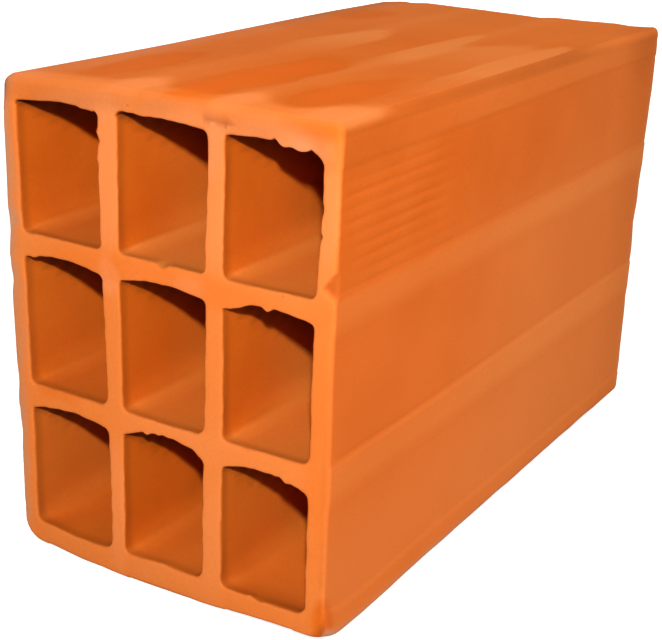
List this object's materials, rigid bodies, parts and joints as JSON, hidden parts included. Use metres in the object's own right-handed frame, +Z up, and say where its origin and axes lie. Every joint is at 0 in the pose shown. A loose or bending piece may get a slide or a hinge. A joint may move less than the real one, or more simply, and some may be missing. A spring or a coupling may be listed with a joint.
{
  "type": "hollow clay brick",
  "caption": "Hollow fired-clay block, extruded and wire cut, with a grid of open cells running through it and combed outer faces that hold mortar and plaster.",
  "frame": {"origin": "middle of the underside, the narrow bed face that the block lies on", "axes": "+X across the block's width, +Y along the cells towards the cut end hidden in the picture, +Z up"},
  "size_m": [0.143, 0.29, 0.19],
  "materials": {
    "fired_clay": "matt unglazed fired clay, smooth bands, combed panels and wire-cut ends"
  },
  "bodies": {
    "root": {"hollow_brick": "fired_clay"}
  },
  "joints": []
}
